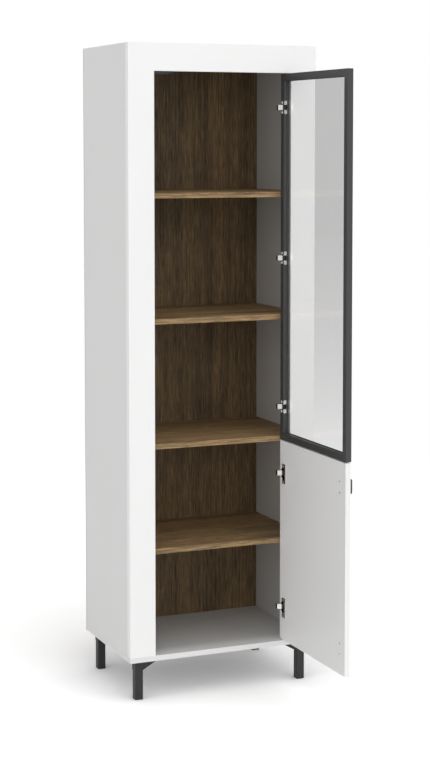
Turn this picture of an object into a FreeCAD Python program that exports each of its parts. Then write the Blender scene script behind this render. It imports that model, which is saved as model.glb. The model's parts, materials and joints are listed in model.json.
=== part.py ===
import FreeCAD, Part
import math
import os

import Sketcher

doc = FreeCAD.newDocument("bookcase")
sheet = doc.addObject("Spreadsheet::Sheet", "Sizes")
row_count = 0


class Measure:
    """A length or angle that keeps both its number and the sheet formula it comes from."""

    def __init__(self, text, value):
        self.text = text
        self.value = value

    def __add__(self, other):
        return combine(self, "+", other)

    def __radd__(self, other):
        return combine(other, "+", self)

    def __sub__(self, other):
        return combine(self, "-", other)

    def __rsub__(self, other):
        return combine(other, "-", self)

    def __mul__(self, other):
        return combine(self, "*", other)

    def __rmul__(self, other):
        return combine(other, "*", self)

    def __truediv__(self, other):
        return combine(self, "/", other)

    def __neg__(self):
        return combine(0, "-", self)


def measure(item):
    return item if isinstance(item, Measure) else Measure(repr(float(item)), float(item))


def combine(left, sign, right):
    a = measure(left)
    b = measure(right)
    results = {"+": a.value + b.value, "-": a.value - b.value, "*": a.value * b.value}
    value = a.value / b.value if sign == "/" else results[sign]
    return Measure(f"({a.text} {sign} {b.text})", value)


def cosine(angle):
    a = measure(angle)
    return Measure(f"cos({a.text} * 1 deg)", math.cos(math.radians(a.value)))


def sine(angle):
    a = measure(angle)
    return Measure(f"sin({a.text} * 1 deg)", math.sin(math.radians(a.value)))


def root(square):
    a = measure(square)
    return Measure(f"sqrt({a.text})", math.sqrt(a.value))


def size(name, value):
    """One driving size, kept in its own named cell of the sheet."""
    global row_count
    row_count += 1
    sheet.set(f"A{row_count}", name)
    sheet.set(f"B{row_count}", str(value))
    sheet.setAlias(f"B{row_count}", name)
    return Measure(f"Sizes.{name}", float(value))


# Overall sizes. X runs to the right, Y to the back and Z up; the front face is at Y 0, the floor at Z 0.
width = size("width", 600)
depth = size("depth", 400)
carcass_height = size("carcass_height", 1816)
leg_height = size("leg_height", 115)
glide_height = size("glide_height", 3)

# Boards of the carcass and of the front frame.
board = size("board", 16)
front_board = size("front_board", 22)
back_board = size("back_board", 3)
stile_width = size("stile_width", 80)
rail_height = size("rail_height", 81)
edge_radius = size("edge_radius", 2)
middle_shelf_rise = size("middle_shelf_rise", 626)
shelf_setback = size("shelf_setback", 25)
shelf_play = size("shelf_play", 0.5)

# Doors: gaps in the opening, thicknesses and the line on which they turn.
side_gap = size("side_gap", 3)
end_gap = size("end_gap", 2)
middle_gap = size("middle_gap", 3)
split_drop = size("split_drop", 11)
door_board = size("door_board", 16)
open_angle = size("open_angle", 90)
pin_inset = size("pin_inset", 14)
pin_depth = size("pin_depth", 7.3)

# Extruded profile of the glass door's frame, with the groove that holds the glass.
frame_face = size("frame_face", 20)
frame_depth = size("frame_depth", 18.5)
frame_wall = size("frame_wall", 1.5)
frame_lip = size("frame_lip", 1.2)
frame_radius = size("frame_radius", 1.5)
groove_depth = size("groove_depth", 5)
glass_thickness = size("glass_thickness", 4)
gasket_front = size("gasket_front", 0.3)
gasket_back = size("gasket_back", 1.4)
gasket_reach = size("gasket_reach", 0.8)
bracket_leg = size("bracket_leg", 34)
bracket_width = size("bracket_width", 12)
bracket_play = size("bracket_play", 0.2)

# Hinges: a cranked arm that turns on one pin in the door's cup.
hinge_from_end = size("hinge_from_end", 100)
arm_height = size("arm_height", 15)
arm_gauge = size("arm_gauge", 2.4)
arm_lead = size("arm_lead", 155)
arm_clear = size("arm_clear", 0.3)
arm_run = size("arm_run", 78)
hinge_pin_radius = size("hinge_pin_radius", 1.2)
knuckle_radius = size("knuckle_radius", 2.4)
running_play = size("running_play", 0.05)
cheek_play = size("cheek_play", 0.3)
cup_radius = size("cup_radius", 17.4)
cup_gauge = size("cup_gauge", 0.8)
rim_from_edge = size("rim_from_edge", 4.1)
cup_play = size("cup_play", 0.1)
flange_height = size("flange_height", 60)
flange_width = size("flange_width", 19)
flange_gauge = size("flange_gauge", 1.2)
flange_radius = size("flange_radius", 3)
cheek_gauge = size("cheek_gauge", 2.5)
lug_length = size("lug_length", 40)
lug_gauge = size("lug_gauge", 1.2)
lug_radius = size("lug_radius", 4.5)
notch_edge = size("notch_edge", 4.4)
notch_play = size("notch_play", 0.1)
housing_web = size("housing_web", 1.5)
lug_margin = size("lug_margin", 0.6)
pin_cover = size("pin_cover", 0.15)
plate_length = size("plate_length", 46)
plate_overrun = size("plate_overrun", 2)
plate_spine = size("plate_spine", 17)
wing_length = size("wing_length", 48)
wing_width = size("wing_width", 18)
wing_offset = size("wing_offset", 15)
wing_gauge = size("wing_gauge", 2.5)
plate_rise = size("plate_rise", 5.26)

# Handle, legs and the stop behind the top rail.
handle_pitch = size("handle_pitch", 32)
handle_length = size("handle_length", 45)
handle_reach = size("handle_reach", 20.5)
handle_width = size("handle_width", 10)
handle_gauge = size("handle_gauge", 6)
handle_radius = size("handle_radius", 7)
handle_from_edge = size("handle_from_edge", 34)
handle_from_end = size("handle_from_end", 57)
handle_screw_radius = size("handle_screw_radius", 2)
handle_screw_head = size("handle_screw_head", 4)
handle_screw_rise = size("handle_screw_rise", 2.2)
handle_screw_hold = size("handle_screw_hold", 8)
spare_hole_radius = size("spare_hole_radius", 2.5)
spare_hole_depth = size("spare_hole_depth", 12)
leg_side = size("leg_side", 25)
leg_wall = size("leg_wall", 2)
leg_corner = size("leg_corner", 2.5)
leg_side_inset = size("leg_side_inset", 23)
leg_end_inset = size("leg_end_inset", 20)
leg_plate = size("leg_plate", 3)
leg_plate_length = size("leg_plate_length", 74)
leg_plate_width = size("leg_plate_width", 56)
gusset_drop = size("gusset_drop", 30)
gusset_length = size("gusset_length", 48)
gusset_gauge = size("gusset_gauge", 3)
tab_drop = size("tab_drop", 33)
tab_length = size("tab_length", 9)
stop_length = size("stop_length", 60)
stop_hang = size("stop_hang", 8)
stop_depth = size("stop_depth", 14)
stop_height = size("stop_height", 18)
stop_inset = size("stop_inset", 6)
stop_slope = size("stop_slope", 6)
stop_touch = size("stop_touch", 0.3)
glide_plug = size("glide_plug", 14)
glide_inset = size("glide_inset", 0.8)

# Joinery and structural fasteners.
front_row = size("front_row", 95)
rear_row_inset = size("rear_row_inset", 60)
row_step = size("row_step", 40)
pin_row_step = size("pin_row_step", 20)
dowel_radius = size("dowel_radius", 4)
dowel_length = size("dowel_length", 30)
dowel_hold = size("dowel_hold", 11)
cam_radius = size("cam_radius", 7.5)
cam_depth = size("cam_depth", 12)
cam_inset = size("cam_inset", 24)
cam_slot_length = size("cam_slot_length", 8)
cam_slot_width = size("cam_slot_width", 1.6)
cam_slot_depth = size("cam_slot_depth", 2)
cam_bolt_radius = size("cam_bolt_radius", 3)
cam_bolt_hold = size("cam_bolt_hold", 11)
shelf_pin_radius = size("shelf_pin_radius", 2.5)
shelf_pin_length = size("shelf_pin_length", 16)
base_screw_radius = size("base_screw_radius", 3)
base_screw_head = size("base_screw_head", 5)
base_screw_rise = size("base_screw_rise", 4)
base_screw_length = size("base_screw_length", 46)
hole_play = size("hole_play", 0.05)
hole_spare = size("hole_spare", 0.5)
cut_overrun = size("cut_overrun", 1)

# Heights and planes that follow from the sizes above.
base_bottom = leg_height + glide_height
base_top = base_bottom + board
top = base_bottom + carcass_height
opening_top = top - rail_height
half_width = width / 2
half_inner = half_width - board
half_opening = half_width - stile_width
back_inner = depth - back_board
rear_row = back_inner - rear_row_inset
middle_shelf_top = base_top + middle_shelf_rise
upper_clear = (opening_top - middle_shelf_top - 2 * board) / 3
lower_clear = (middle_shelf_rise - 2 * board) / 2
shelf_tops = {
    "shelf_lower": base_top + lower_clear + board,
    "shelf_middle": middle_shelf_top,
    "shelf_upper": middle_shelf_top + upper_clear + board,
    "shelf_top": middle_shelf_top + 2 * (upper_clear + board),
}
split = middle_shelf_top - split_drop
half_door = half_opening - side_gap
lower_bottom = base_top + end_gap
lower_top = split - middle_gap / 2
upper_bottom = split + middle_gap / 2
upper_top = opening_top - end_gap
door_back = door_board
frame_front = door_board - frame_depth
hinge_x = half_door - pin_inset
hinge_y = pin_depth
cup_bore = cup_radius - cup_gauge
cup_from_edge = cup_radius + rim_from_edge
pin_offset = cup_from_edge - pin_inset

# A hinge arm just passes the cup's mouth at one end and lies on its plate at the other.
lead_across = -cosine(arm_lead)
lead_back = sine(arm_lead)
arm_half = arm_height / 2
mouth_reach = root(cup_bore * cup_bore - arm_half * arm_half)
arm_across = pin_offset + mouth_reach - arm_clear - arm_gauge / 2
arm_back = front_board + plate_rise + arm_gauge / 2 - hinge_y
bend_divisor = (1 + lead_across) * lead_across - (1 - lead_back) * lead_back
arm_bend = (arm_back * lead_across - arm_across * lead_back) / bend_divisor
arm_reach = (arm_across - arm_bend * (1 - lead_back)) / lead_across

nodes = {}
cutters = {}
name_count = {}


def fresh(word):
    name_count[word] = name_count.get(word, 0) + 1
    return f"{word}_{name_count[word]}"


def bind(item, prop, value):
    item.setExpression(prop, measure(value).text)


def place(item, x, y, z):
    bind(item, "Placement.Base.x", x)
    bind(item, "Placement.Base.y", y)
    bind(item, "Placement.Base.z", z)


def block(x, y, z):
    """A rectangular block between three (low, high) pairs."""
    item = doc.addObject("Part::Box", fresh("block"))
    bind(item, "Length", x[1] - x[0])
    bind(item, "Width", y[1] - y[0])
    bind(item, "Height", z[1] - z[0])
    place(item, x[0], y[0], z[0])
    return item


TURNS = {
    "+x": FreeCAD.Rotation(FreeCAD.Vector(0, 1, 0), 90),
    "-x": FreeCAD.Rotation(FreeCAD.Vector(0, 1, 0), -90),
    "+y": FreeCAD.Rotation(FreeCAD.Vector(1, 0, 0), -90),
    "-y": FreeCAD.Rotation(FreeCAD.Vector(1, 0, 0), 90),
    "+z": FreeCAD.Rotation(),
    "-z": FreeCAD.Rotation(FreeCAD.Vector(1, 0, 0), 180),
}
QUARTER_TURN = FreeCAD.Rotation(FreeCAD.Vector(0, 0, 1), 90)
STEPS = {"x": (1, 0, 0), "y": (0, 1, 0), "z": (0, 0, 1)}


def rod(start, way, length, radius):
    """A round bar that leaves the start point in one of the six axis directions."""
    item = doc.addObject("Part::Cylinder", fresh("rod"))
    bind(item, "Radius", radius)
    bind(item, "Height", length)
    item.Placement = FreeCAD.Placement(FreeCAD.Vector(0, 0, 0), TURNS[way])
    place(item, *start)
    return item


FLATS = 8


def flat_rod(start, way, length, radius):
    """A bar with eight flats, for the many small fittings inside the boards and for their holes."""
    item = doc.addObject("Part::Prism", fresh("flat_rod"))
    item.Polygon = FLATS
    bind(item, "Circumradius", radius)
    bind(item, "Height", length)
    item.Placement = FreeCAD.Placement(FreeCAD.Vector(), TURNS[way])
    place(item, *start)
    return item


def flat_bore(start, way, length, radius):
    """An eight-sided hole that holds a round bar of the radius by its flats."""
    return flat_rod(start, way, length, radius / cosine(180 / FLATS))


def along(start, way, distance):
    """The point a distance further from the start in an axis direction."""
    sign = 1 if way[0] == "+" else -1
    return tuple(p + sign * step * distance for p, step in zip(start, STEPS[way[1]]))


def opposite(way):
    return ("-" if way[0] == "+" else "+") + way[1]


def prism(plane, points, low, high):
    """A straight prism: a sketched outline, or several, padded from low to high along the plane's normal."""
    body = doc.addObject("PartDesign::Body", fresh("prism"))
    origin = next(f for f in body.Origin.OriginFeatures if f.Role == plane)
    sketch = body.newObject("Sketcher::SketchObject", fresh("outline"))
    sketch.AttachmentSupport = [(origin, "")]
    sketch.MapMode = "FlatFace"
    loops = points if isinstance(points[0], list) else [points]
    for loop in loops:
        draw_loop(sketch, [tuple(measure(part) for part in corner) for corner in loop])
    pad = body.newObject("PartDesign::Pad", fresh("pad"))
    pad.Profile = sketch
    bind(pad, "Length", high - low)
    backward = plane == "XZ_Plane"
    bind(sketch, "AttachmentOffset.Base.z", -low if backward else low)
    pad.Reversed = backward
    body.Tip = pad
    return body


def heading(start, end):
    """The axis direction of the straight edge from one corner to the next."""
    across = end[0].value - start[0].value
    up = end[1].value - start[1].value
    longest = max(abs(across), abs(up))
    return round(across / longest), round(up / longest)


def pin_point(sketch, geometry, point, x, y=None):
    """Ties a point of the sketch to its distances from the sketch's origin."""
    ties = [("DistanceX", x)] + ([("DistanceY", y)] if y else [])
    for kind, value in ties:
        number = sketch.addConstraint(Sketcher.Constraint(kind, -1, 1, geometry, point, value.value))
        sketch.setExpression(f"Constraints[{number}]", value.text)


def draw_loop(sketch, corners):
    """Draws a closed outline; a corner with a third value, its radius, is rounded between square edges."""
    stops = []
    for i, corner in enumerate(corners):
        spot = corner[:2]
        if len(corner) == 2:
            stops.append((spot, spot, None))
            continue
        before = heading(corners[i - 1], corner)
        after = heading(corner, corners[(i + 1) % len(corners)])
        arrive = tuple(p - way * corner[2] for p, way in zip(spot, before))
        leave = tuple(p + way * corner[2] for p, way in zip(spot, after))
        centre = tuple(p + way * corner[2] for p, way in zip(arrive, after))
        left_turn = before[0] * after[1] - before[1] * after[0] > 0
        stops.append((arrive, leave, (centre, corner[2], left_turn)))
    lines = []
    for i, stop in enumerate(stops):
        ends = [FreeCAD.Vector(p[0].value, p[1].value, 0) for p in (stop[1], stops[(i + 1) % len(stops)][0])]
        lines.append(sketch.addGeometry(Part.LineSegment(*ends), False))
        pin_point(sketch, lines[i], 1, *stop[1])
    for i, (arrive, leave, rounding) in enumerate(stops):
        if rounding is None:
            sketch.addConstraint(Sketcher.Constraint("Coincident", lines[i - 1], 2, lines[i], 1))
            continue
        centre, radius, left_turn = rounding
        middle = FreeCAD.Vector(centre[0].value, centre[1].value, 0)
        first, last = (arrive, leave) if left_turn else (leave, arrive)
        angles = [math.atan2(p[1].value - middle.y, p[0].value - middle.x) for p in (first, last)]
        circle = Part.Circle(middle, FreeCAD.Vector(0, 0, 1), radius.value)
        arc = sketch.addGeometry(Part.ArcOfCircle(circle, *angles), False)
        arrive_end, leave_end = (1, 2) if left_turn else (2, 1)
        sketch.addConstraint(Sketcher.Constraint("Coincident", lines[i - 1], 2, arc, arrive_end))
        sketch.addConstraint(Sketcher.Constraint("Coincident", lines[i], 1, arc, leave_end))
        pin_point(sketch, lines[i - 1], 2, *arrive)
        pin_point(sketch, arc, 3, centre[0])


def gather(kind, word, items):
    item = doc.addObject(kind, fresh(word))
    setattr(item, "Links" if kind == "Part::Compound" else "Shapes", items)
    return item


def fuse(items):
    return gather("Part::MultiFuse", "fused", items) if len(items) > 1 else items[0]


def carve(base, tools):
    if not tools:
        return base
    item = doc.addObject("Part::Cut", fresh("carved"))
    item.Base = base
    item.Tool = gather("Part::Compound", "tools", tools) if len(tools) > 1 else tools[0]
    return item


def node(label, item):
    """Makes an object a sub-part under its own label."""
    item.Label = label
    nodes[label] = item
    return item


def cluster(label, items):
    return node(label, gather("Part::Compound", "cluster", items))


def swing(item):
    """Opens a door piece: it is drawn in the closed door and turned about the hinge line."""
    item.Placement = FreeCAD.Placement(FreeCAD.Vector(), FreeCAD.Rotation(FreeCAD.Vector(0, 0, 1), 0))
    item.setExpression("Placement.Rotation.Angle", f"{open_angle.text} * 1 deg")
    turn_x = hinge_x * cosine(open_angle) - hinge_y * sine(open_angle)
    turn_y = hinge_x * sine(open_angle) + hinge_y * cosine(open_angle)
    bind(item, "Placement.Base.x", hinge_x - turn_x)
    bind(item, "Placement.Base.y", hinge_y - turn_y)
    return item


def drill(board_name, start, way, length, radius):
    """Notes a hole, with its play, that a board gets when it is finished."""
    cutters.setdefault(board_name, []).append(flat_rod(start, way, length, radius + hole_play))


def finish(board_name, blank):
    return node(board_name, carve(blank, cutters.get(board_name, [])))


def turned(outline, start, way):
    """A turned piece: (radius, distance) corners revolved about an axis that leaves the start point."""
    body = doc.addObject("PartDesign::Body", fresh("turned"))
    origin = next(f for f in body.Origin.OriginFeatures if f.Role == "XZ_Plane")
    sketch = body.newObject("Sketcher::SketchObject", fresh("outline"))
    sketch.AttachmentSupport = [(origin, "")]
    sketch.MapMode = "FlatFace"
    draw_loop(sketch, [tuple(measure(part) for part in corner) for corner in outline])
    turn = body.newObject("PartDesign::Revolution", fresh("turn"))
    turn.Profile = sketch
    turn.ReferenceAxis = (sketch, ["V_Axis"])
    turn.Angle = 360
    body.Tip = turn
    body.Placement = FreeCAD.Placement(FreeCAD.Vector(), TURNS[way])
    place(body, *start)
    return body


def screw(start, way, length, radius, head_radius, head_rise):
    """A screw whose head stands on the start point; the shank runs the given way."""
    head = flat_rod(start, opposite(way), head_rise, head_radius)
    return fuse([head, flat_rod(start, way, length, radius)])


def dowel(spot, way, first_board, second_board, hold):
    """A dowel across a joint: the hold sits in the second board and the rest in the first."""
    drill(first_board, spot, opposite(way), dowel_length - hold + hole_spare, dowel_radius)
    drill(second_board, spot, way, hold + hole_spare, dowel_radius)
    return flat_rod(along(spot, way, hold), opposite(way), dowel_length, dowel_radius)


def rounded(low, high, radius):
    """The four rounded corners of a rectangle between two opposite corners."""
    corners = [low, (high[0], low[1]), high, (low[0], high[1])]
    return [(*corner, radius) for corner in corners]


# Joints of the carcass: dowels and cam fittings in the top and fixed shelf, long screws through the base.
SIDES = (("left", -1, "-x"), ("right", 1, "+x"))
STILE_DOWEL_SHARES = (0.08, 0.5, 0.92)
RAIL_DOWEL_SHARES = (0.25, 0.75)
board_rows = {"top_panel": top - board / 2, "shelf_middle": middle_shelf_top - board / 2}
frame_dowels = []
carcass_dowels = []
cams = []
cam_bolts = []
base_screws = []
for side, sign, outward in SIDES:
    side_panel = f"side_panel_{side}"
    stile = f"front_stile_{side}"
    face_x = sign * half_inner
    core_x = sign * (half_width - board / 2)
    for share in STILE_DOWEL_SHARES:
        spot = (core_x, front_board, base_top + (top - base_top) * share)
        frame_dowels.append(dowel(spot, "+y", stile, side_panel, dowel_length / 2))
    for share in RAIL_DOWEL_SHARES:
        spot = (sign * half_opening, front_board / 2, opening_top + rail_height * share)
        frame_dowels.append(dowel(spot, outward, "front_top_rail", stile, dowel_length / 2))
    for panel, z in board_rows.items():
        for y in (front_row + row_step, rear_row - row_step):
            carcass_dowels.append(dowel((face_x, y, z), outward, panel, side_panel, dowel_hold))
        for y in (front_row, rear_row):
            spot = (face_x, y, z)
            cam_edge = cam_inset - cam_radius
            drill(panel, spot, opposite(outward), cam_edge + hole_spare, cam_bolt_radius)
            drill(side_panel, spot, outward, cam_bolt_hold + hole_spare, cam_bolt_radius)
            bolt_end = along(spot, outward, cam_bolt_hold)
            bolt_length = cam_bolt_hold + cam_edge
            cam_bolts.append(flat_rod(bolt_end, opposite(outward), bolt_length, cam_bolt_radius))
            cam_spot = (face_x - sign * cam_inset, y, z - board / 2)
            drill(panel, cam_spot, "+z", cam_depth, cam_radius)
            slot = block(
                (cam_spot[0] - cam_slot_length / 2, cam_spot[0] + cam_slot_length / 2),
                (y - cam_slot_width / 2, y + cam_slot_width / 2),
                (cam_spot[2], cam_spot[2] + cam_slot_depth),
            )
            cams.append(carve(flat_rod(cam_spot, "+z", cam_depth, cam_radius), [slot]))
    for y in (front_row - row_step, depth / 2, rear_row):
        under = (core_x, y, base_bottom)
        seat = along(under, "+z", base_screw_rise)
        base_screws.append(
            screw(seat, "+z", base_screw_length, base_screw_radius, base_screw_head, base_screw_rise)
        )
        drill("bottom_panel", under, "+z", base_screw_rise, base_screw_head)
        drill("bottom_panel", under, "+z", board, base_screw_radius)
        screw_depth = base_screw_length + base_screw_rise - board + hole_spare
        drill(side_panel, (core_x, y, base_top), "+z", screw_depth, base_screw_radius)

# Loose shelves lie on four pins each.
shelf_pins = []
for label in ("shelf_lower", "shelf_upper", "shelf_top"):
    z = shelf_tops[label] - board - shelf_pin_radius
    for side, sign, outward in SIDES:
        for y in (front_row - pin_row_step, rear_row + pin_row_step):
            hold = shelf_pin_length / 2
            spot = (sign * half_inner, y, z)
            pin_end = along(spot, outward, hold)
            shelf_pins.append(flat_rod(pin_end, opposite(outward), shelf_pin_length, shelf_pin_radius))
            drill(f"side_panel_{side}", spot, outward, hold + hole_spare, shelf_pin_radius)

# Hinge arm: knuckle, lead out of the cup, a turn back and a run behind the stile to its plate.
def hinge_fixed_side(word, z):
    low = z - arm_half
    half_gauge = arm_gauge / 2
    knuckle = rod((hinge_x, hinge_y, low), "+z", arm_height, knuckle_radius)
    lead = doc.addObject("Part::Box", fresh("lead"))
    bind(lead, "Length", arm_reach)
    bind(lead, "Width", arm_gauge)
    bind(lead, "Height", arm_height)
    lead.Placement = FreeCAD.Placement(FreeCAD.Vector(), FreeCAD.Rotation(FreeCAD.Vector(0, 0, 1), 0))
    lead.setExpression("Placement.Rotation.Angle", f"{arm_lead.text} * 1 deg")
    place(lead, hinge_x + half_gauge * lead_back, hinge_y + half_gauge * lead_across, low)
    turn_x = hinge_x - arm_reach * lead_across + arm_bend * lead_back
    turn_y = hinge_y + arm_reach * lead_back + arm_bend * lead_across
    outer_turn = rod((turn_x, turn_y, low), "+z", arm_height, arm_bend + half_gauge)
    outer_turn.setExpression("Angle", f"{arm_lead.text} * 1 deg")
    outer_turn.Placement.Rotation = QUARTER_TURN
    bend = carve(outer_turn, [rod((turn_x, turn_y, low), "+z", arm_height, arm_bend - half_gauge)])
    run_y = turn_y + arm_bend
    run_end = turn_x + arm_run
    run = block((turn_x, run_end), (run_y - half_gauge, run_y + half_gauge), (low, low + arm_height))
    eye = rod((hinge_x, hinge_y, low), "+z", arm_height, hinge_pin_radius + running_play)
    node(f"hinge_arm_{word}", carve(fuse([knuckle, lead, bend, run]), [eye]))
    plate_end = run_end + plate_overrun
    plate_start = plate_end - plate_length
    spine_z = (z - plate_spine / 2, z + plate_spine / 2)
    spine = block((plate_start, plate_end), (front_board, front_board + plate_rise), spine_z)
    wing_x = (plate_start + wing_offset, plate_start + wing_offset + wing_width)
    wing_z = (z - wing_length / 2, z + wing_length / 2)
    wing = block(wing_x, (front_board, front_board + wing_gauge), wing_z)
    node(f"hinge_plate_{word}", fuse([spine, wing]))


upper_hinges = {
    "upper_top": upper_top - hinge_from_end,
    "upper_middle": (upper_top + upper_bottom) / 2,
    "upper_bottom": upper_bottom + hinge_from_end,
}
lower_hinges = {"lower_top": lower_top - hinge_from_end, "lower_bottom": lower_bottom + hinge_from_end}
for word, z in {**upper_hinges, **lower_hinges}.items():
    hinge_fixed_side(word, z)

# Stop for the glass door, behind the top rail at the free side, with its nose under the rail.
stop_start = -half_opening + stop_inset
stop_end = stop_start + stop_length
stop_high = opening_top + stop_height
stop_face = door_back + stop_touch
stop_outline = [
    (stop_start, opening_top - stop_hang),
    (stop_end - stop_slope, opening_top - stop_hang),
    (stop_end, opening_top),
    (stop_end, stop_high),
    (stop_start, stop_high),
]
stop_relief = block((stop_start, stop_end), (stop_face, front_board), (opening_top, stop_high))
stop_blank = prism("XZ_Plane", stop_outline, stop_face, front_board + stop_depth)
node("door_stop", carve(stop_blank, [stop_relief]))


# Legs: square tube under a screwed plate, with a sloped web to the inside and a short tab to the back.
def leg(label, sign, y_low, front):
    x_outer = sign * (half_width - leg_side_inset)
    x_inner = sign * (half_width - leg_side_inset - leg_side)
    x_tip = x_inner - sign * gusset_length
    x_plate = x_outer - sign * leg_plate_length
    xs = (x_outer, x_inner) if sign < 0 else (x_inner, x_outer)
    plate_x = (x_outer, x_plate) if sign < 0 else (x_plate, x_outer)
    y_high = y_low + leg_side
    under = base_bottom - leg_plate
    bore_low = (xs[0] + leg_wall, y_low + leg_wall)
    bore_high = (xs[1] - leg_wall, y_high - leg_wall)
    bore = [bore_low, (bore_high[0], bore_low[1]), bore_high, (bore_low[0], bore_high[1])]
    tube_outline = rounded((xs[0], y_low), (xs[1], y_high), leg_corner)
    tube = prism("XY_Plane", [tube_outline, bore], glide_height, under)
    plate_low = y_low if front else y_high - leg_plate_width
    plate = block(plate_x, (plate_low, plate_low + leg_plate_width), (under, base_bottom))
    web_outline = [(x_inner, under), (x_tip, under), (x_inner, base_bottom - gusset_drop)]
    web_y = y_low + leg_corner
    web = prism("XZ_Plane", web_outline, web_y, web_y + gusset_gauge)
    tab_start = x_outer - sign * leg_corner
    tab_x = (tab_start, tab_start + gusset_gauge) if sign < 0 else (tab_start - gusset_gauge, tab_start)
    tab = block(tab_x, (y_high, y_high + tab_length), (base_bottom - tab_drop, under))
    node(label, fuse([tube, plate, web, tab]))
    plug = prism("XY_Plane", bore, glide_height, glide_height + glide_plug)
    sole_x = (xs[0] + glide_inset, xs[1] - glide_inset)
    sole = block(sole_x, (y_low + glide_inset, y_high - glide_inset), (measure(0), glide_height))
    return fuse([sole, plug])


glides = []
for side, sign, outward in SIDES:
    for end, y_low in (("front", leg_end_inset), ("back", depth - leg_end_inset - leg_side)):
        glides.append(leg(f"leg_{end}_{side}", sign, y_low, end == "front"))
cluster("leg_glides", glides)

# Boards of the carcass, each with the holes noted for it.
cluster("frame_dowels", frame_dowels)
cluster("carcass_dowels", carcass_dowels)
cluster("cam_locks", cams)
cluster("cam_bolts", cam_bolts)
cluster("base_screws", base_screws)
cluster("shelf_pins", shelf_pins)
for side, sign, outward in SIDES:
    ends = (sign * half_width, sign * half_inner)
    xs = (ends[0], ends[1]) if sign < 0 else (ends[1], ends[0])
    finish(f"side_panel_{side}", block(xs, (front_board, back_inner), (base_top, top)))
    inner = sign * half_opening
    corner = sign * half_width
    stile_outline = [
        (inner, measure(0)),
        (corner, measure(0), edge_radius),
        (corner, front_board),
        (inner, front_board),
    ]
    finish(f"front_stile_{side}", prism("XY_Plane", stile_outline, base_top, top))
rail = block((-half_opening, half_opening), (measure(0), front_board), (opening_top, top))
finish("front_top_rail", rail)
finish("top_panel", block((-half_inner, half_inner), (front_board, back_inner), (top - board, top)))
finish("bottom_panel", block((-half_width, half_width), (measure(0), back_inner), (base_bottom, base_top)))
finish("back_panel", block((-half_width, half_width), (back_inner, depth), (base_bottom, top)))
for label, shelf_top in shelf_tops.items():
    reach = half_inner if label == "shelf_middle" else half_inner - shelf_play
    rear = back_inner if label == "shelf_middle" else back_inner - shelf_play
    finish(label, block((-reach, reach), (shelf_setback, rear), (shelf_top - board, shelf_top)))

# Glass door: four mitred lengths of one extruded profile, drawn by the distance in from the door's edge.
lip_back = frame_front + frame_lip
groove_back = lip_back + gasket_front + glass_thickness + gasket_back
groove_floor = frame_face - groove_depth


def profile(at):
    """Outline and two hollows of the frame's section; at() places a corner by its distance from the edge."""
    outer = [
        (measure(0), frame_front, frame_radius),
        (frame_face, frame_front),
        (frame_face, lip_back),
        (groove_floor, lip_back),
        (groove_floor, groove_back),
        (frame_face, groove_back),
        (frame_face, door_back),
        (measure(0), door_back),
    ]
    rear_hollow = ring(frame_wall, frame_face - frame_wall, groove_back + frame_wall, door_back - frame_wall)
    front_hollow = ring(frame_wall, groove_floor - frame_wall, frame_front + frame_wall, groove_back)
    return [[at(*corner) for corner in loop] for loop in (outer, rear_hollow, front_hollow)]


def ring(u_low, u_high, y_low, y_high):
    return [(u_low, y_low), (u_high, y_low), (u_high, y_high), (u_low, y_high)]


def mitre(corner_x, corner_z, way_x, way_z):
    """The two triangles cut from the ends of a stile and of a rail where they meet in a corner."""
    reach = frame_face + cut_overrun
    outer = (corner_x - way_x * cut_overrun, corner_z - way_z * cut_overrun)
    inner = (corner_x + way_x * reach, corner_z + way_z * reach)
    from_stile = [outer, (inner[0], outer[1]), inner]
    from_rail = [outer, (outer[0], inner[1]), inner]
    span = (frame_front - cut_overrun, door_back + cut_overrun)
    return prism("XZ_Plane", from_stile, *span), prism("XZ_Plane", from_rail, *span)


frame_tools = {"stile_free": [], "stile_hinge": [], "rail_top": [], "rail_bottom": []}
brackets = []
for stile, corner_x, way_x in (("stile_free", -half_door, 1), ("stile_hinge", half_door, -1)):
    for frame_rail, corner_z, way_z in (("rail_bottom", upper_bottom, 1), ("rail_top", upper_top, -1)):
        from_stile, from_rail = mitre(corner_x, corner_z, way_x, way_z)
        frame_tools[stile].append(from_stile)
        frame_tools[frame_rail].append(from_rail)
        near = frame_wall + bracket_play
        inner = near + bracket_width
        far = near + bracket_leg
        el = [(near, near), (far, near), (far, inner), (inner, inner), (inner, far), (near, far)]
        el_outline = [(corner_x + way_x * a, corner_z + way_z * b) for a, b in el]
        bracket_y = (groove_back + frame_wall + bracket_play, door_back - frame_wall - bracket_play)
        brackets.append(prism("XZ_Plane", el_outline, *bracket_y))

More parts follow.
